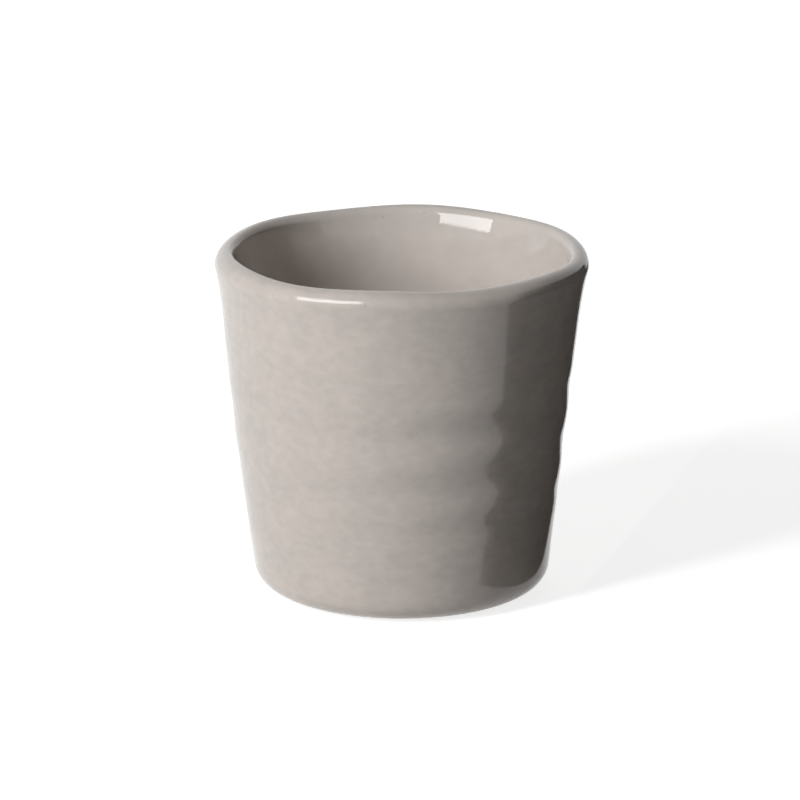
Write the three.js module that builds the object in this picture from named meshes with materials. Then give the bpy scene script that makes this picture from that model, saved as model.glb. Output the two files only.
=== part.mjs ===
// Handleless stoneware mug: a pot thrown from one lump of clay, glazed inside, outside and under its base.
// The clay and the three fired glaze coats are separate solids that sit face to face.
// Millimetres, +Z up. The origin is on the table, in the middle of the foot ring. The front is at -Y.
import * as THREE from "three";

// Sizes over the glaze
const HEIGHT = 80; // table to the middle height of the lip's crown
const LIP_DIAMETER = 86; // widest part of the lip
const HEEL_DIAMETER = 68.6; // foot of the straight wall, where the heel's curve begins

// Thrown clay
const WALL_AT_LIP = 3.9;
const WALL_AT_HEEL = 5;
const FLOOR = 5.5;
const HEEL_RADIUS = 5;
const INNER_CORNER_RADIUS = 9;
const WALL_BELLY = 0.15; // the wall swells by this much half way up
const NECK_DROP = 14; // the wall begins to turn outwards this far below the crown
const LIP_FLARE = 0.55; // how far the lip stands out from the line of the wall
const LIP_ROUND = 2.5; // height of the lip's rounded top
const INNER_LIP_ROUND = 1.4; // width of that rounding on the lip's inner side

// Foot ring, turned after throwing and left bare
const FOOT_HEIGHT = 1.2; // the heel clears the table by this much
const FOOT_INSET = 2; // bare clay between the heel's curve and the ring
const FOOT_WIDTH = 5;
const FOOT_ROUND = 0.5;
const RECESS = 2; // depth of the hollow inside the ring

// Glaze
const GLAZE = 0.5;
const GLAZE_ROLL = 1.6; // the coat rounds off to nothing over this length at its edge
const BASE_GLAZE_MARGIN = 1; // bare clay between the ring's cove and the glaze under the base

// Unevenness left by the hand
const RING_DEPTH = 0.15; // throwing rings, half of their swing in and out
const RING_PITCH = 13; // rise of the fingers in one turn of the wheel
const RING_START = 0.09; // turns of the wheel before the fingers pass +X
const RING_TOP = 46; // the rings are full up to this height
const RING_FADE = 11; // they die away over this height above it, and at the heel
const RING_CALM = 0.3; // share of the rings that is left where the fingers pressed least
const RING_PRESS_TURN = THREE.MathUtils.degToRad(-58); // the fingers pressed hardest on this side
const LIP_WAVE = 0.23; // rise and fall of the crown
const LIP_WAVE_COUNT = 6;
const LIP_WAVE_TURN = THREE.MathUtils.degToRad(23);
const LIP_SADDLE = 0.14; // two opposite sides of the crown stand higher
const LIP_SADDLE_TURN = THREE.MathUtils.degToRad(81);
const LIP_SQUARING = 0.23; // the round of the lip is slightly four-sided
const LIP_SQUARING_TURN = THREE.MathUtils.degToRad(-35);
const BELLY_LEAN = 0.45; // the wall bows to the left at mid height

// Colours
const BARE_CLAY = 0xc9bba6;
const WARM_GREY = 0xc2bab3;

// Fineness of the solids
const SEGMENTS = 44;
const WALL_STEP = 4;
const INNER_WALL_STEP = 9;
const ARC_STEPS = 4;
const LIP_STEPS = 4;

// Places that follow from the sizes
const clayLipRadius = LIP_DIAMETER / 2 - GLAZE;
const clayHeelRadius = HEEL_DIAMETER / 2 - GLAZE;
const crownHeight = HEIGHT - GLAZE;
const lipHeight = crownHeight - LIP_ROUND;
const neckHeight = crownHeight - NECK_DROP;
const heelHeight = FOOT_HEIGHT + HEEL_RADIUS;
const floorHeight = RECESS + FLOOR;
const outerLipRound = WALL_AT_LIP - INNER_LIP_ROUND;
const lipCentre = new THREE.Vector2(clayLipRadius - outerLipRound, lipHeight);

// The line of a wall in the profile, from the heel's height up to the lip's.
function wallLine(radiusAtHeel, radiusAtLip) {
  const slope = (radiusAtLip - radiusAtHeel) / (lipHeight - heelHeight);
  const lean = Math.atan(slope);
  const radiusAt = (height) => radiusAtHeel + slope * (height - heelHeight);
  const pointAt = (height) => new THREE.Vector2(radiusAt(height), height);
  // Centre of an arc that touches this wall and a level face below it.
  const arcCentre = (levelFace, radius) =>
    new THREE.Vector2(radiusAt(levelFace + radius) - radius / Math.cos(lean), levelFace + radius);
  return { lean, radiusAt, pointAt, arcCentre };
}

// The wall between two points of its profile, swelling outwards half way along.
function swollen(from, to) {
  const middle = from.clone().add(to).multiplyScalar(0.5);
  return new THREE.QuadraticBezierCurve(from, middle.setX(middle.x + 2 * WALL_BELLY), to);
}

const outerWall = wallLine(clayHeelRadius, clayLipRadius - LIP_FLARE);
const innerWall = wallLine(clayHeelRadius - WALL_AT_HEEL, clayLipRadius - LIP_FLARE - WALL_AT_LIP);
const heelCentre = outerWall.arcCentre(FOOT_HEIGHT, HEEL_RADIUS);
const cornerCentre = innerWall.arcCentre(floorHeight, INNER_CORNER_RADIUS);
const footRadius = heelCentre.x - FOOT_INSET;
const footInnerRadius = footRadius - FOOT_WIDTH;
const coveRadius = footInnerRadius - RECESS; // the hollow's level part ends here
const baseGlazeRadius = coveRadius - BASE_GLAZE_MARGIN;

// The lip is two parts of ellipses that meet at its crown, nearer to the inner side. Each runs on from
// the flare of the neck.
const flareHeight = (neckHeight + lipHeight) / 2;
const flareSlope = (clayLipRadius - outerWall.radiusAt(flareHeight)) / (lipHeight - flareHeight);
const lipTurn = (width) => Math.atan((flareSlope * LIP_ROUND) / width);

function arc(centre, radiusX, radiusY, from, to) {
  return new THREE.EllipseCurve(centre.x, centre.y, radiusX, radiusY, from, to, to < from);
}

// Points along a run of curves, each given with its number of steps, without doubled ends.
function sample(...runs) {
  return runs.flatMap(([curve, steps], run) => curve.getPoints(steps).slice(run === 0 ? 0 : 1));
}

function steps(length, step) {
  return Math.max(2, Math.round(length / step));
}

// Outer face of the clay, from the heel's underside to the crown of the lip.
function outerFace() {
  const heel = arc(heelCentre, HEEL_RADIUS, HEEL_RADIUS, -Math.PI / 2, -outerWall.lean);
  const lip = arc(lipCentre, outerLipRound, LIP_ROUND, -lipTurn(outerLipRound), Math.PI / 2);
  const neck = outerWall.pointAt(neckHeight);
  const wall = swollen(heel.getPoint(1), neck);
  const flare = new THREE.QuadraticBezierCurve(neck, outerWall.pointAt(flareHeight), lip.getPoint(0));
  return sample(
    [heel, ARC_STEPS],
    [wall, steps(wall.getLength(), WALL_STEP)],
    [flare, steps(flare.getLength(), WALL_STEP)],
    [lip, LIP_STEPS],
  );
}

// Inner face of the clay, from the crown of the lip to the middle of the floor.
function innerFace() {
  const lipEnd = Math.PI - lipTurn(INNER_LIP_ROUND);
  const lip = arc(lipCentre, INNER_LIP_ROUND, LIP_ROUND, Math.PI / 2, lipEnd);
  const corner = arc(cornerCentre, INNER_CORNER_RADIUS, INNER_CORNER_RADIUS, -innerWall.lean, -Math.PI / 2);
  const neck = innerWall.pointAt(neckHeight);
  const flare = new THREE.QuadraticBezierCurve(lip.getPoint(1), innerWall.pointAt(flareHeight), neck);
  const wall = swollen(neck, corner.getPoint(0));
  const floor = new THREE.LineCurve(corner.getPoint(1), new THREE.Vector2(0, floorHeight));
  return sample(
    [lip, LIP_STEPS],
    [flare, steps(flare.getLength(), WALL_STEP)],
    [wall, steps(wall.getLength(), INNER_WALL_STEP)],
    [corner, ARC_STEPS],
    [floor, 2],
  );
}

// Underside of the clay, from its middle, through the hollow and round the foot ring, to the heel.
function underside() {
  const recessMiddle = new THREE.Vector2(0, RECESS);
  const recessEdge = new THREE.Vector2(coveRadius, RECESS);
  const cove = arc(new THREE.Vector2(coveRadius, 0), RECESS, RECESS, Math.PI / 2, 0);
  const ringEdge = new THREE.Vector2(footRadius - FOOT_ROUND, FOOT_ROUND);
  const edge = arc(ringEdge, FOOT_ROUND, FOOT_ROUND, -Math.PI / 2, 0);
  const ringRoot = new THREE.Vector2(footRadius, FOOT_HEIGHT);
  return sample(
    [new THREE.LineCurve(recessMiddle, recessEdge), 2],
    [cove, ARC_STEPS],
    [new THREE.LineCurve(cove.getPoint(1), edge.getPoint(0)), 1],
    [edge, 2],
    [new THREE.LineCurve(edge.getPoint(1), ringRoot), 1],
    [new THREE.LineCurve(ringRoot, new THREE.Vector2(heelCentre.x, FOOT_HEIGHT)), 1],
  );
}

// Directions square to a run of profile points, on its right-hand side.
function outward(points) {
  return points.map((point, i) => {
    const before = points[Math.max(i - 1, 0)];
    const after = points[Math.min(i + 1, points.length - 1)];
    const along = after.clone().sub(before).normalize();
    return point.x === 0 ? new THREE.Vector2(0, 1) : new THREE.Vector2(along.y, -along.x);
  });
}

// Thickness of a coat at a distance from its edge, where it rounds off to nothing.
function coatThickness(distance) {
  const missing = Math.max(0, 1 - distance / GLAZE_ROLL);
  return GLAZE * Math.sqrt(1 - missing * missing);
}

function distancesAlong(points) {
  let total = 0;
  return points.map((point, i) => (total += i === 0 ? 0 : point.distanceTo(points[i - 1])));
}

const underFace = underside();
const outside = outerFace();
const inside = innerFace();
const bothFaces = [...outside, ...inside.slice(1)];
const directions = outward(bothFaces);
const crown = outside.length - 1;
directions[crown].set(0, 1);

// Share of the throwing rings that a point shows: all on the outer face, none inside, at the heel or
// near the lip.
function ringShare(radius, height) {
  const outerRadius = outerWall.radiusAt(height);
  const depth = THREE.MathUtils.smoothstep(radius, outerRadius - WALL_AT_LIP, outerRadius);
  const aboveHeel = THREE.MathUtils.smoothstep(height, heelHeight, heelHeight + RING_FADE);
  const belowTop = 1 - THREE.MathUtils.smoothstep(height, RING_TOP, RING_TOP + RING_FADE);
  return depth * aboveHeel * belowTop;
}

// Moves a point of the true round pot to where the hand left it. Clay and glaze are moved alike.
function shapeByHand(point) {
  const radius = Math.hypot(point.x, point.y);
  const angle = Math.atan2(point.y, point.x);
  const rise = THREE.MathUtils.clamp((point.z - FOOT_HEIGHT) / (crownHeight - FOOT_HEIGHT), 0, 1);
  const turns = point.z / RING_PITCH - angle / (2 * Math.PI) + RING_START;
  const press = RING_CALM + (1 - RING_CALM) * Math.max(0, Math.cos(angle - RING_PRESS_TURN)) ** 2;
  const rings = RING_DEPTH * press * Math.sin(2 * Math.PI * turns) * ringShare(radius, point.z);
  const squaring = LIP_SQUARING * Math.cos(4 * (angle - LIP_SQUARING_TURN)) * rise ** 2;
  const stretch = radius > 0 ? (radius + rings + squaring) / radius : 1;
  const wave = LIP_WAVE * Math.cos(LIP_WAVE_COUNT * (angle - LIP_WAVE_TURN));
  const saddle = LIP_SADDLE * Math.cos(2 * (angle - LIP_SADDLE_TURN));
  const lean = -BELLY_LEAN * Math.sin(Math.PI * rise);
  return point.set(point.x * stretch + lean, point.y * stretch, point.z + (wave + saddle) * rise ** 5);
}

// A profile turned on the wheel about +Z and then made uneven by hand.
function thrown(profile) {
  const geometry = new THREE.LatheGeometry(profile, SEGMENTS).rotateX(Math.PI / 2);
  const position = geometry.attributes.position;
  const point = new THREE.Vector3();
  for (let i = 0; i < position.count; i++) {
    shapeByHand(point.fromBufferAttribute(position, i));
    position.setXYZ(i, point.x, point.y, point.z);
  }
  geometry.computeVertexNormals();
  return geometry;
}

function piece(name, geometry, color, roughness) {
  const material = new THREE.MeshStandardMaterial({ color, roughness, metalness: 0 });
  const mesh = new THREE.Mesh(geometry, material);
  mesh.name = name;
  return mesh;
}

// A coat on the clay. Its profile runs along the clay in the clay's own direction, so that the facets
// of the two match. That leaves the coat facing inwards, so each facet is turned over.
function coat(profile) {
  const geometry = thrown(profile);
  const corners = geometry.index;
  for (let i = 0; i < corners.count; i += 3) {
    const second = corners.getX(i + 1);
    corners.setX(i + 1, corners.getX(i + 2));
    corners.setX(i + 2, second);
  }
  geometry.computeVertexNormals();
  return geometry;
}

// The fired clay: floor, wall, lip and foot ring in one piece.
function clayBody() {
  return piece("clay_body", thrown([...underFace, ...bothFaces.slice(1)]), BARE_CLAY, 0.9);
}

// The coat dipped on outside, from the heel to the crown, where it meets the liner.
function outerGlaze() {
  const distances = distancesAlong(outside);
  const skin = outside.map((point, i) =>
    point.clone().addScaledVector(directions[i], coatThickness(distances[i])),
  );
  return piece("outer_glaze", coat([...outside, ...skin.toReversed()]), WARM_GREY, 0.25);
}

// The coat poured inside, from the crown down over the floor.
function linerGlaze() {
  const skin = inside.map((point, i) => point.clone().addScaledVector(directions[crown + i], GLAZE));
  return piece("liner_glaze", coat([...skin.toReversed(), ...inside]), WARM_GREY, 0.15);
}

// The coat in the hollow under the base.
function baseGlaze() {
  const rim = baseGlazeRadius - GLAZE_ROLL;
  const edge = arc(new THREE.Vector2(rim, RECESS), GLAZE_ROLL, GLAZE, -Math.PI / 2, 0);
  const under = new THREE.LineCurve(new THREE.Vector2(0, RECESS - GLAZE), edge.getPoint(0));
  const top = new THREE.LineCurve(edge.getPoint(1), new THREE.Vector2(0, RECESS));
  return piece("base_glaze", thrown(sample([under, 2], [edge, ARC_STEPS], [top, 2])), WARM_GREY, 0.25);
}

const mug = new THREE.Group();
mug.name = "handleless_mug";
mug.add(clayBody(), outerGlaze(), linerGlaze(), baseGlaze());

export default mug;
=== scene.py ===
import math

import bpy
from mathutils import Euler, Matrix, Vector, noise


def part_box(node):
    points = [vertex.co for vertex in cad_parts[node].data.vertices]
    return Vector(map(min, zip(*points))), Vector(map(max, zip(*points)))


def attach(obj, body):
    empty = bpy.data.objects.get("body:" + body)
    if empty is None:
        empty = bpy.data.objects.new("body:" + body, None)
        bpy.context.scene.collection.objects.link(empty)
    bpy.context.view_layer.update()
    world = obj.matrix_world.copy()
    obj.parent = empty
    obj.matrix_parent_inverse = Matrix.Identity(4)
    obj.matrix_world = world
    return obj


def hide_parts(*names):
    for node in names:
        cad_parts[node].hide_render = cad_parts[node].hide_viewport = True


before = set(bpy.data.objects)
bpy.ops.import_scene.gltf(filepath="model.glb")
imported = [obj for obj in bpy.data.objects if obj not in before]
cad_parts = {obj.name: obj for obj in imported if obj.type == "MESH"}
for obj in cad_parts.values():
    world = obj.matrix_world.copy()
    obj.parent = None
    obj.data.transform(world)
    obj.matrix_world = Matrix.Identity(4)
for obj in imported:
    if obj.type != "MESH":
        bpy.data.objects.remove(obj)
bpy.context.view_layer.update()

# The clay body: a pot thrown on the wheel from one lump of pale stoneware, floor, wall and lip in one.
# Its foot ring and the hollow inside the ring were turned at leather hardness. The ring stays bare,
# because a glazed foot would stick to the kiln shelf.
MM = 0.001
CLAY_LIP_RADIUS = 42.43 * MM
CLAY_HEEL_RADIUS = 33.8 * MM  # foot of the straight wall, where the heel's curve begins
CROWN = 79.49 * MM  # top of the clay's lip
WALL_AT_LIP = 3.9 * MM
WALL_AT_HEEL = 5 * MM
HEEL_ROUND = 5 * MM
INNER_CORNER_ROUND = 9 * MM
WALL_BELLY = 0.15 * MM  # the wall swells by this much half way up
NECK_DROP = 14 * MM  # the wall begins to turn outwards this far below the crown
LIP_FLARE = 0.55 * MM  # how far the lip stands out from the line of the wall
LIP_ROUND = 2.5 * MM  # height of the lip's rounded top
INNER_LIP_ROUND = 1.4 * MM  # width of that rounding on the lip's inner side
FOOT_HEIGHT = 1.2 * MM
FOOT_INSET = 2 * MM  # bare clay between the heel's curve and the ring
FOOT_WIDTH = 5 * MM
FOOT_ROUND = 0.5 * MM
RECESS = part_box("base_glaze")[1].z  # depth of the hollow inside the ring
FLOOR_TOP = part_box("liner_glaze")[0].z

lip_height = CROWN - LIP_ROUND
neck_height = CROWN - NECK_DROP
heel_height = FOOT_HEIGHT + HEEL_ROUND
flare_height = (neck_height + lip_height) / 2
outer_lip_round = WALL_AT_LIP - INNER_LIP_ROUND
lip_centre = (CLAY_LIP_RADIUS - outer_lip_round, lip_height)


def wall_line(radius_at_heel, radius_at_lip):
    """The lean of a wall's straight line, and its radius at any height."""
    slope = (radius_at_lip - radius_at_heel) / (lip_height - heel_height)
    return math.atan(slope), lambda height: radius_at_heel + slope * (height - heel_height)


outer_lean, outer_radius = wall_line(CLAY_HEEL_RADIUS, CLAY_LIP_RADIUS - LIP_FLARE)
inner_lean, inner_radius = wall_line(
    CLAY_HEEL_RADIUS - WALL_AT_HEEL, CLAY_LIP_RADIUS - LIP_FLARE - WALL_AT_LIP
)
heel_centre = (outer_radius(heel_height) - HEEL_ROUND / math.cos(outer_lean), heel_height)
corner_height = FLOOR_TOP + INNER_CORNER_ROUND
corner_centre = (inner_radius(corner_height) - INNER_CORNER_ROUND / math.cos(inner_lean), corner_height)
flare_slope = (CLAY_LIP_RADIUS - outer_radius(flare_height)) / (lip_height - flare_height)
foot_radius = heel_centre[0] - FOOT_INSET
cove_radius = foot_radius - FOOT_WIDTH - RECESS  # the hollow's level part ends here


def arc(centre, width, height, start, end, steps):
    """Points round part of an ellipse, each as its radius and height on the pot."""
    angles = [start + (end - start) * i / steps for i in range(steps + 1)]
    return [(centre[0] + width * math.cos(a), centre[1] + height * math.sin(a)) for a in angles]


def lip_turn(width):
    """The angle on the lip's rounding, of that width, at which it runs on in line with the flare."""
    return math.atan(flare_slope * LIP_ROUND / width)


def bend(start, pull, end, steps):
    """Points along a curve from start to end that is drawn towards the point pull."""
    shares = [i / steps for i in range(steps + 1)]
    return [
        tuple((1 - t) ** 2 * a + 2 * t * (1 - t) * p + t * t * b for a, p, b in zip(start, pull, end))
        for t in shares
    ]


def swollen(start, end, steps):
    """A stretch of wall that swells outwards half way along."""
    middle = ((start[0] + end[0]) / 2 + 2 * WALL_BELLY, (start[1] + end[1]) / 2)
    return bend(start, middle, end, steps)


def joined(*stretches):
    """Stretches of a profile as one run of points, without doubled ends."""
    return [*stretches[0], *(point for stretch in stretches[1:] for point in stretch[1:])]


def outer_face(fineness):
    """The clay's outer face, from the heel's underside to the crown of the lip."""
    heel = arc(heel_centre, HEEL_ROUND, HEEL_ROUND, -math.pi / 2, -outer_lean, 4 * fineness)
    lip_start = -lip_turn(outer_lip_round)
    lip = arc(lip_centre, outer_lip_round, LIP_ROUND, lip_start, math.pi / 2, 4 * fineness)
    neck = (outer_radius(neck_height), neck_height)
    flare = bend(neck, (outer_radius(flare_height), flare_height), lip[0], 3 * fineness)
    return joined(heel, swollen(heel[-1], neck, 16 * fineness), flare, lip)


def inner_face(fineness):
    """The clay's inner face, from the crown of the lip to the middle of the floor."""
    lip_end = math.pi - lip_turn(INNER_LIP_ROUND)
    lip = arc(lip_centre, INNER_LIP_ROUND, LIP_ROUND, math.pi / 2, lip_end, 4 * fineness)
    corner = arc(
        corner_centre, INNER_CORNER_ROUND, INNER_CORNER_ROUND, -inner_lean, -math.pi / 2, 4 * fineness
    )
    neck = (inner_radius(neck_height), neck_height)
    flare = bend(lip[-1], (inner_radius(flare_height), flare_height), neck, 3 * fineness)
    floor = [corner[-1], (corner[-1][0] / 2, FLOOR_TOP), (0, FLOOR_TOP)]
    return joined(lip, flare, swollen(neck, corner[0], 8 * fineness), corner, floor)


def underside():
    """The clay's underside, from its middle, through the hollow and round the foot ring, to the heel."""
    cove = arc((cove_radius, 0), RECESS, RECESS, math.pi / 2, math.pi / 8, 6)
    inner_centre = (foot_radius - FOOT_WIDTH + FOOT_ROUND, FOOT_ROUND)
    inner_edge = arc(inner_centre, FOOT_ROUND, FOOT_ROUND, math.pi, 1.5 * math.pi, 4)
    outer_centre = (foot_radius - FOOT_ROUND, FOOT_ROUND)
    outer_edge = arc(outer_centre, FOOT_ROUND, FOOT_ROUND, -math.pi / 2, 0, 4)
    root = [(foot_radius, FOOT_HEIGHT), (heel_centre[0], FOOT_HEIGHT)]
    return [(0, RECESS), *cove, *inner_edge, *outer_edge, *root]


TURN_STEPS = 240


def turned(name, profile):
    """A new piece: the profile is pulled out point by point and then turned once round the wheel's axis."""
    bpy.ops.object.select_all(action="DESELECT")
    start = profile[0]
    bpy.ops.mesh.primitive_plane_add(size=MM, location=(0, 0, 0))
    piece = bpy.context.object
    piece.name = name
    bpy.ops.object.mode_set(mode="EDIT")
    bpy.ops.mesh.merge(type="CENTER")
    bpy.ops.transform.translate(value=(start[0], 0, start[1]))
    for here, there in zip(profile, profile[1:]):
        step = (there[0] - here[0], 0, there[1] - here[1])
        bpy.ops.mesh.extrude_vertices_move(TRANSFORM_OT_translate={"value": step})
    bpy.ops.mesh.select_all(action="SELECT")
    bpy.ops.mesh.spin(steps=TURN_STEPS, angle=2 * math.pi, center=(0, 0, 0), axis=(0, 0, 1))
    bpy.ops.mesh.select_all(action="SELECT")
    bpy.ops.mesh.remove_doubles(threshold=MM / 1000)
    bpy.ops.mesh.normals_make_consistent(inside=False)
    bpy.ops.object.mode_set(mode="OBJECT")
    return piece


# Unevenness left by the potter's hand
RING_DEPTH = 0.31 * MM  # throwing rings, half of their swing in and out
RING_PITCH = 13 * MM  # rise of the fingers in one turn of the wheel
RING_START = -0.02  # turns of the wheel before the fingers pass +X
RING_FOOT = 28 * MM  # the rings are full from this height
RING_TOP = 48 * MM  # up to this one
RING_FADE = 11 * MM  # they die away over this height below and above
RING_CALM = 0.17  # share of the rings that is left where the fingers pressed least
RING_PRESS_TURN = math.radians(-58)  # the fingers pressed hardest on this side
FINE_RING_DEPTH = 0.008 * MM  # grooves of the finger tip inside each ring
FINE_RING_PITCH = 4.3 * MM
LIP_WAVE = 0.23 * MM  # rise and fall of the crown
LIP_WAVE_COUNT = 6  # times round
LIP_WAVE_TURN = math.radians(23)
LIP_SADDLE = 0.14 * MM  # two opposite sides of the crown stand higher
LIP_SADDLE_TURN = math.radians(81)
LIP_SQUARING = 0.23 * MM  # the round of the lip is slightly four-sided
LIP_SQUARING_TURN = math.radians(-35)
BELLY_LEAN = 0.45 * MM  # the wall bows to the left at mid height
DENT_DEPTH = 0.14 * MM  # soft dents and swellings all over the wall, longer than they are high
DENT_LENGTH = 34 * MM
DENT_HEIGHT = 15 * MM
SHARP_EDGE = math.radians(40)  # edges that turn by more stay sharp


def eased(value, low, high):
    """0 up to low, 1 from high, and a smooth rise between them."""
    share = min(max((value - low) / (high - low), 0), 1)
    return share * share * (3 - 2 * share)


def outer_share(radius, height):
    """1 on the pot's outer face, 0 on its inner face, and between them in the wall."""
    outer = outer_radius(height)
    return eased(radius, outer - WALL_AT_LIP, outer)


def shaped_by_hand(point):
    """Where the hand left a point of the true round pot. Clay and glaze are moved alike."""
    radius = math.hypot(point.x, point.y)
    angle = math.atan2(point.y, point.x)
    turn = angle / (2 * math.pi)
    rise = min(max((point.z - FOOT_HEIGHT) / (CROWN - FOOT_HEIGHT), 0), 1)
    wall_share = eased(point.z, heel_height, heel_height + RING_FADE)
    foot_share = eased(point.z, RING_FOOT - RING_FADE, RING_FOOT)
    calm_share = eased(point.z, RING_TOP, RING_TOP + RING_FADE)
    ring_share = outer_share(radius, point.z) * foot_share * (1 - calm_share)
    press = RING_CALM + (1 - RING_CALM) * max(0, math.cos(angle - RING_PRESS_TURN)) ** 2
    rings = RING_DEPTH * press * math.sin(2 * math.pi * (point.z / RING_PITCH - turn + RING_START))
    fine_rings = FINE_RING_DEPTH * math.sin(2 * math.pi * (point.z / FINE_RING_PITCH - turn))
    squaring = LIP_SQUARING * math.cos(4 * (angle - LIP_SQUARING_TURN)) * rise**2
    dent_place = Vector((point.x / DENT_LENGTH, point.y / DENT_LENGTH, point.z / DENT_HEIGHT))
    dents = DENT_DEPTH * noise.noise(dent_place) * wall_share * (1 - rise**4)
    stretch = 1 + ((rings + fine_rings) * ring_share + squaring + dents) / radius if radius > 0 else 1
    wave = LIP_WAVE * math.cos(LIP_WAVE_COUNT * (angle - LIP_WAVE_TURN))
    saddle = LIP_SADDLE * math.cos(2 * (angle - LIP_SADDLE_TURN))
    lean = -BELLY_LEAN * math.sin(math.pi * rise)
    return Vector((point.x * stretch + lean, point.y * stretch, point.z + (wave + saddle) * rise**5))


def finished(piece, material, slot, *nodes):
    """Shapes a turned piece by hand, smooths it, and sets it in the place of its CAD nodes."""
    for vertex in piece.data.vertices:
        vertex.co = shaped_by_hand(vertex.co)
    piece.data.materials.append(material)
    bpy.ops.object.select_all(action="DESELECT")
    piece.select_set(True)
    bpy.context.view_layer.objects.active = piece
    bpy.ops.object.shade_smooth_by_angle(angle=SHARP_EDGE)
    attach(piece, "root")
    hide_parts(*nodes)


def plugged(tree, socket, value):
    """Sets a socket to a node's output or to a plain value."""
    if isinstance(value, bpy.types.NodeSocket):
        tree.links.new(value, socket)
    else:
        socket.default_value = value


def texture(tree, kind, place, size, detail=0):
    """A texture node with features of about that size, laid on the given coordinates."""
    node = tree.nodes.new(kind)
    node.inputs["Scale"].default_value = 1 / size
    node.inputs["Detail"].default_value = detail
    tree.links.new(place, node.inputs["Vector"])
    return node


def ranged(tree, value, low, high, to_low, to_high):
    """A value carried from one range to another and held inside it."""
    node = tree.nodes.new("ShaderNodeMapRange")
    for socket, setting in zip(node.inputs, (value, low, high, to_low, to_high)):
        plugged(tree, socket, setting)
    return node.outputs["Result"]


def blended(tree, mode, factor, first, second):
    """Two colours mixed. Each of factor, first and second is a node's output or a plain value."""
    node = tree.nodes.new("ShaderNodeMix")
    node.data_type = "RGBA"
    node.blend_type = mode
    for socket, value in zip((node.inputs[0], node.inputs[6], node.inputs[7]), (factor, first, second)):
        plugged(tree, socket, value)
    return node.outputs[2]


def roughened(tree, shader, height, depth):
    """Gives a shader the fine relief of a texture's height, in metres."""
    node = tree.nodes.new("ShaderNodeBump")
    node.inputs["Distance"].default_value = depth
    tree.links.new(height, node.inputs["Height"])
    tree.links.new(node.outputs["Normal"], shader.inputs["Normal"])
    return node


PALE_BUFF = (0.60, 0.51, 0.39, 1)
TOASTED_BUFF = (0.45, 0.33, 0.22, 1)
GRIT_BROWN = (0.20, 0.13, 0.08, 1)
CLAY_ROUGHNESS = 0.85
TOASTED_PATCH = 6 * MM
GRAIN = 0.5 * MM
GRAIN_DEPTH = 0.08 * MM
GRIT_SPACING = 1.6 * MM

stoneware = bpy.data.materials.new("bare stoneware")
stoneware.use_nodes = True
clay_nodes = stoneware.node_tree
clay_shader = clay_nodes.nodes["Principled BSDF"]
clay_shader.inputs["Roughness"].default_value = CLAY_ROUGHNESS
clay_place = clay_nodes.nodes.new("ShaderNodeTexCoord").outputs["Object"]
toasting = texture(clay_nodes, "ShaderNodeTexNoise", clay_place, TOASTED_PATCH, detail=3)
grain = texture(clay_nodes, "ShaderNodeTexNoise", clay_place, GRAIN, detail=4)
grit = texture(clay_nodes, "ShaderNodeTexVoronoi", clay_place, GRIT_SPACING)
toasted_share = ranged(clay_nodes, toasting.outputs[0], 0.45, 0.75, 0, 0.6)
buff = blended(clay_nodes, "MIX", toasted_share, PALE_BUFF, TOASTED_BUFF)
grit_share = ranged(clay_nodes, grit.outputs["Distance"], 0.1, 0.2, 0.7, 0)
speckled = blended(clay_nodes, "MIX", grit_share, buff, GRIT_BROWN)
clay_nodes.links.new(speckled, clay_shader.inputs["Base Color"])
roughened(clay_nodes, clay_shader, grain.outputs[0], GRAIN_DEPTH)

clay_profile = joined(underside(), outer_face(1), inner_face(1))
thrown_clay = turned("thrown_clay", clay_profile)
finished(thrown_clay, stoneware, "stoneware", "clay_body")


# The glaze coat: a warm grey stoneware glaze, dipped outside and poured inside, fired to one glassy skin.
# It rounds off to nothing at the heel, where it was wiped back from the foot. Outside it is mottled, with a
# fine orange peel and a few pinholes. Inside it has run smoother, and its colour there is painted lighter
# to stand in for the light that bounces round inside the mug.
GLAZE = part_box("base_glaze")[1].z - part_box("base_glaze")[0].z
GLAZE_ROLL = 1.6 * MM  # the coat rounds off over this length at its edge


def coat_thickness(distance):
    """Thickness of the coat at a distance from its edge."""
    missing = max(0, 1 - distance / GLAZE_ROLL)
    return GLAZE * math.sqrt(1 - missing**2)


def coated(face):
    """The skin of a coat on a face of the clay, from its thin edge to the axis."""
    skin = [face[0]]
    distance = 0
    for before, here, after in zip(face, face[1:], face[2:]):
        distance += math.dist(before, here)
        along = (after[0] - before[0], after[1] - before[1])
        share = coat_thickness(distance) / math.hypot(*along)
        skin.append((here[0] + along[1] * share, here[1] - along[0] * share))
    return [*skin, (0, face[-1][1] + GLAZE)]


def multiply_add(tree, first, second, third):
    """first times second, plus third. Each is a node's output or a plain value."""
    node = tree.nodes.new("ShaderNodeMath")
    node.operation = "MULTIPLY_ADD"
    for socket, value in zip(node.inputs, (first, second, third)):
        plugged(tree, socket, value)
    return node.outputs[0]


WARM_GREIGE = (0.565, 0.510, 0.467, 1)
COOL_GREIGE = (0.535, 0.486, 0.448, 1)
PINHOLE_BROWN = (0.26, 0.22, 0.185, 1)
GLAZE_IOR = 1.4
CLOUD = 8 * MM  # patches of the warmer and the cooler grey
MOTTLE = 3 * MM
PINHOLE_SPACING = 3.2 * MM
PEEL = 0.9 * MM  # orange peel
PEEL_DEPTH = 0.008 * MM
MOTTLE_FLATNESS = 1.6  # the mottling is drawn out along the turn of the wheel
LINER_PAINTED_LIGHT = 1.15  # painted light: the inside is painted lighter, standing in for the light that bounces round inside the mug
LINER_TINT = (0.99, 1, 1.012, 1)  # the glaze inside is a slightly cooler grey
LINER_MOTTLE = 0.02  # how much the mottling lightens and darkens the glaze, inside and outside
OUTER_MOTTLE = 0.048
LINER_PEEL = 0.2  # share of the orange peel that shows inside
LINER_ROUGHNESS = 0.03
OUTER_ROUGHNESS = 0.1
ROUGHNESS_SWING = 0.02  # it changes by this much either way with the mottling

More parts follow.
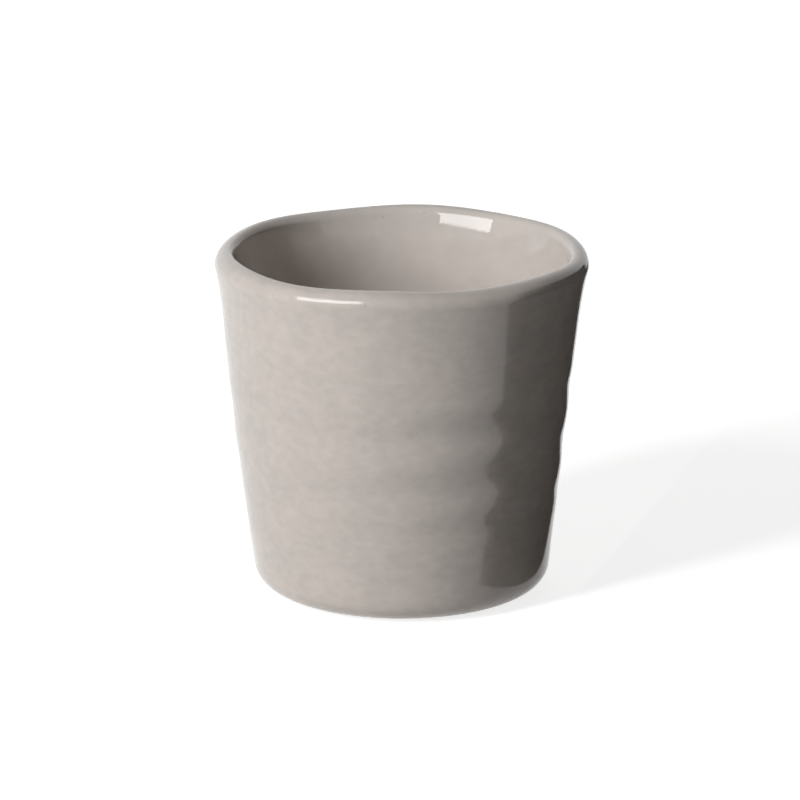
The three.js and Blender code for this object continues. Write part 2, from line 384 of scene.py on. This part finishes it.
glaze = bpy.data.materials.new("warm grey glaze")
glaze.use_nodes = True
glaze_nodes = glaze.node_tree
glaze_shader = glaze_nodes.nodes["Principled BSDF"]
glaze_shader.inputs["IOR"].default_value = GLAZE_IOR
glaze_place = glaze_nodes.nodes.new("ShaderNodeTexCoord").outputs["Object"]
flattening = glaze_nodes.nodes.new("ShaderNodeMapping")
flattening.inputs["Scale"].default_value = (1, 1, MOTTLE_FLATNESS)
glaze_nodes.links.new(glaze_place, flattening.inputs["Vector"])
outside = glaze_nodes.nodes.new("ShaderNodeAttribute")
outside.attribute_name = "outside"

clouds = texture(glaze_nodes, "ShaderNodeTexNoise", glaze_place, CLOUD, detail=2)
mottle = texture(glaze_nodes, "ShaderNodeTexNoise", flattening.outputs[0], MOTTLE, detail=2)
pinholes = texture(glaze_nodes, "ShaderNodeTexVoronoi", glaze_place, PINHOLE_SPACING)
peel = texture(glaze_nodes, "ShaderNodeTexNoise", glaze_place, PEEL, detail=1)
cloud_share = ranged(glaze_nodes, clouds.outputs[0], 0.35, 0.65, 0, 1)
greige = blended(glaze_nodes, "MIX", cloud_share, WARM_GREIGE, COOL_GREIGE)
mottle_depth = ranged(glaze_nodes, outside.outputs["Fac"], 0, 1, LINER_MOTTLE, OUTER_MOTTLE)
mottle_swing = ranged(glaze_nodes, mottle.outputs[0], 0.3, 0.7, -1, 1)
# Painted light: the inside of the coat is made lighter, a painted stand-in for light bouncing inside the mug.
inner_painted_light = ranged(glaze_nodes, outside.outputs["Fac"], 0, 1, LINER_PAINTED_LIGHT, 1)
# This factor carries both the glaze's own mottling and that painted lightening inside.
mottling = multiply_add(glaze_nodes, mottle_swing, mottle_depth, inner_painted_light)
mottled = blended(glaze_nodes, "MULTIPLY", 1, greige, mottling)
inside = ranged(glaze_nodes, outside.outputs["Fac"], 0, 1, 1, 0)
tinted = blended(glaze_nodes, "MULTIPLY", inside, mottled, LINER_TINT)
open_cells = ranged(glaze_nodes, pinholes.outputs["Color"], 0.7, 0.72, 0, 0.5)
pinhole_pits = ranged(glaze_nodes, pinholes.outputs["Distance"], 0.03, 0.08, 1, 0)
pinhole_share = multiply_add(glaze_nodes, open_cells, pinhole_pits, 0)
pinholed = blended(glaze_nodes, "MIX", pinhole_share, tinted, PINHOLE_BROWN)
glaze_nodes.links.new(pinholed, glaze_shader.inputs["Base Color"])
roughness = ranged(glaze_nodes, outside.outputs["Fac"], 0, 1, LINER_ROUGHNESS, OUTER_ROUGHNESS)
gloss = multiply_add(glaze_nodes, mottle_swing, ROUGHNESS_SWING, roughness)
glaze_nodes.links.new(gloss, glaze_shader.inputs["Roughness"])
relief = roughened(glaze_nodes, glaze_shader, peel.outputs[0], PEEL_DEPTH)
peel_share = ranged(glaze_nodes, outside.outputs["Fac"], 0, 1, LINER_PEEL, 1)
glaze_nodes.links.new(peel_share, relief.inputs["Strength"])

clay_faces = joined(outer_face(1), inner_face(1))
glaze_skin = coated(joined(outer_face(4), inner_face(4)))
glaze_coat = turned("glaze_coat", joined(clay_faces[::-1], glaze_skin))
outside_marks = glaze_coat.data.attributes.new("outside", "FLOAT", "POINT")
for vertex, mark in zip(glaze_coat.data.vertices, outside_marks.data):
    mark.value = outer_share(math.hypot(vertex.co.x, vertex.co.y), vertex.co.z)
finished(glaze_coat, glaze, "glaze", "outer_glaze", "liner_glaze")


# The glaze under the base: the same glaze, brushed into the hollow inside the foot ring.
# It ends in a rounded edge short of the hollow's side.
BASE_GLAZE_MARGIN = 1 * MM

base_edge = (cove_radius - BASE_GLAZE_MARGIN - GLAZE_ROLL, RECESS)
base_rim = arc(base_edge, GLAZE_ROLL, GLAZE, -math.pi / 2, 0, 10)
base_profile = joined([(0, RECESS - GLAZE), base_rim[0]], base_rim, [base_rim[-1], (0, RECESS)])
glaze_under_base = turned("glaze_under_base", base_profile)
finished(glaze_under_base, glaze, "glaze", "base_glaze")


# The floor: a plain pale studio table, the same all over.
# It shows white to the eye and in the glaze, and keeps the mug's soft shadow.
FLOOR_SIDE = 12
WHITE = (1, 1, 1, 1)
FLOOR_PALENESS = (0.7, 0.7, 0.7, 1)
FLOOR_GLOW = 0.79  # lifts it to white, for the eye and in the glaze alike

bpy.ops.object.select_all(action="DESELECT")
bpy.ops.mesh.primitive_plane_add(size=FLOOR_SIDE, location=(0, 0, 0))
studio_floor = bpy.context.object
studio_floor.name = "studio_floor"


def by_ray(tree, scattered, seen):
    """A value for scattered light, and one for what the eye sees, straight or mirrored in the glaze."""
    path = tree.nodes.new("ShaderNodeLightPath")
    total = scattered
    for kind in ("Is Glossy Ray", "Is Transmission Ray", "Is Camera Ray"):
        node = tree.nodes.new("ShaderNodeMix")
        tree.links.new(path.outputs[kind], node.inputs[0])
        plugged(tree, node.inputs[2], total)
        node.inputs[3].default_value = seen
        total = node.outputs[0]
    return total


pale = bpy.data.materials.new("pale studio floor")
pale.use_nodes = True
pale.cycles.emission_sampling = "NONE"
pale_shader = pale.node_tree.nodes["Principled BSDF"]
pale_shader.inputs["Roughness"].default_value = 1
pale_shader.inputs["Specular IOR Level"].default_value = 0
pale_shader.inputs["Emission Color"].default_value = WHITE
pale_shader.inputs["Base Color"].default_value = FLOOR_PALENESS
floor_glow = by_ray(pale.node_tree, 0, FLOOR_GLOW)
pale.node_tree.links.new(floor_glow, pale_shader.inputs["Emission Strength"])
studio_floor.data.materials.append(pale)


# The dark card: a folded sheet that lies on the table to the right of the mug and stands up beside it.
# It keeps the dark side dark, and its front edge shows as a line in the glaze. The camera doesn't see it,
# and it casts no shadow.
CARD_CORNER = (0.032, -0.037)  # the corner nearest to the mug's front
CARD_TURN = math.radians(-17)
CARD_WIDTH = 0.1  # of the part that lies down
CARD_LENGTH = 0.6
CARD_HEIGHT = 0.13
CARD_LIFT = 0.0003
CARD_BROWN = (0.03, 0.026, 0.023, 1)

bpy.ops.object.select_all(action="DESELECT")
bpy.ops.mesh.primitive_plane_add(size=1, location=(0, 0, 0))
dark_card = bpy.context.object
dark_card.name = "dark_card"
dark_card.scale = (CARD_WIDTH, CARD_LENGTH, 1)
card_middle = Vector((CARD_WIDTH / 2, CARD_LENGTH / 2, CARD_LIFT))
card_middle.rotate(Euler((0, 0, CARD_TURN)))
dark_card.location = Vector((*CARD_CORNER, 0)) + card_middle
dark_card.rotation_euler.z = CARD_TURN
for vertex in dark_card.data.vertices:
    vertex.select = vertex.co.x > 0
for edge in dark_card.data.edges:
    edge.select = all(dark_card.data.vertices[i].select for i in edge.vertices)
for face in dark_card.data.polygons:
    face.select = False
bpy.ops.object.mode_set(mode="EDIT")
bpy.ops.mesh.extrude_region_move(TRANSFORM_OT_translate={"value": (0, 0, CARD_HEIGHT)})
bpy.ops.object.mode_set(mode="OBJECT")
dark_card.visible_camera = False
dark_card.visible_shadow = False
brown_black = bpy.data.materials.new("brown black card")
brown_black.use_nodes = True
card_shader = brown_black.node_tree.nodes["Principled BSDF"]
card_shader.inputs["Base Color"].default_value = CARD_BROWN
card_shader.inputs["Roughness"].default_value = 1
dark_card.data.materials.append(brown_black)


# The lights: a broad softbox at the front left, above the mug, which shows only in the glaze, and its core,
# which lights the mug and doesn't show in it. Three weaker ones at the right, above and behind fill the
# shadows and don't show in the glaze either.
AIM = Vector((0, 0, 0.0405))
WARM_FILL = (1, 0.96, 0.91)
ROOM_LIGHT = 0.008


def softbox(name, turn, rise, distance, width, height, power, tilt=0):
    """A rectangular light aimed at the mug, turned round it from the front, raised and tilted, in degrees."""
    turn, rise = math.radians(turn), math.radians(rise)
    away = Vector((math.sin(turn) * math.cos(rise), -math.cos(turn) * math.cos(rise), math.sin(rise)))
    bpy.ops.object.light_add(type="AREA", location=AIM + away * distance)
    lamp = bpy.context.object
    lamp.name = name
    tilted = Euler((0, 0, math.radians(tilt))).to_quaternion()
    lamp.rotation_euler = (away.to_track_quat("Z", "Y") @ tilted).to_euler()
    lamp.data.shape = "RECTANGLE"
    lamp.data.size = width
    lamp.data.size_y = height
    lamp.data.energy = power
    return lamp


key_softbox = softbox(
    "key_softbox", turn=-45, rise=21.2, distance=1.0, width=0.75, height=0.4, power=11, tilt=3
)
key_softbox.visible_diffuse = False
key_core = softbox("key_core", turn=-48, rise=27, distance=1.0, width=0.22, height=0.55, power=8.8)
key_core.visible_glossy = False
right_fill = softbox("right_fill", turn=138, rise=24, distance=1.3, width=1.0, height=0.6, power=1.1)
right_fill.visible_glossy = False
right_fill.data.color = WARM_FILL
top_fill = softbox("top_fill", turn=0, rise=78, distance=1.2, width=0.8, height=0.8, power=0.9)
top_fill.visible_glossy = False
back_fill = softbox("back_fill", turn=188, rise=14, distance=1.3, width=1.0, height=0.5, power=4)
back_fill.visible_glossy = False

studio = bpy.data.worlds.new("studio")
bpy.context.scene.world = studio
studio.use_nodes = True
room = studio.node_tree.nodes["Background"]
room.inputs["Color"].default_value = WHITE
studio.node_tree.links.new(by_ray(studio.node_tree, ROOM_LIGHT, 1), room.inputs["Strength"])


# The camera: a long lens, a little above the lip, looking down into the mug.
# Its small shift sets the mug in its place in the frame.
CAMERA_RISE = math.radians(16.3)
CAMERA_DISTANCE = 1.185
LENS = 231.3
SENSOR_WIDTH = 36
FRAME_SIDE = 800  # pixels
AIM_PIXEL = (402, 414)  # where AIM falls in the picture

camera_away = Vector((0, -math.cos(CAMERA_RISE), math.sin(CAMERA_RISE)))
bpy.ops.object.camera_add(
    location=AIM + camera_away * CAMERA_DISTANCE, rotation=(math.pi / 2 - CAMERA_RISE, 0, 0)
)
camera = bpy.context.object
camera.data.lens = LENS
camera.data.sensor_width = SENSOR_WIDTH
camera.data.shift_x = (FRAME_SIDE / 2 - AIM_PIXEL[0]) / FRAME_SIDE
camera.data.shift_y = (AIM_PIXEL[1] - FRAME_SIDE / 2) / FRAME_SIDE
bpy.context.scene.camera = camera
bpy.context.scene.view_settings.view_transform = "Standard"
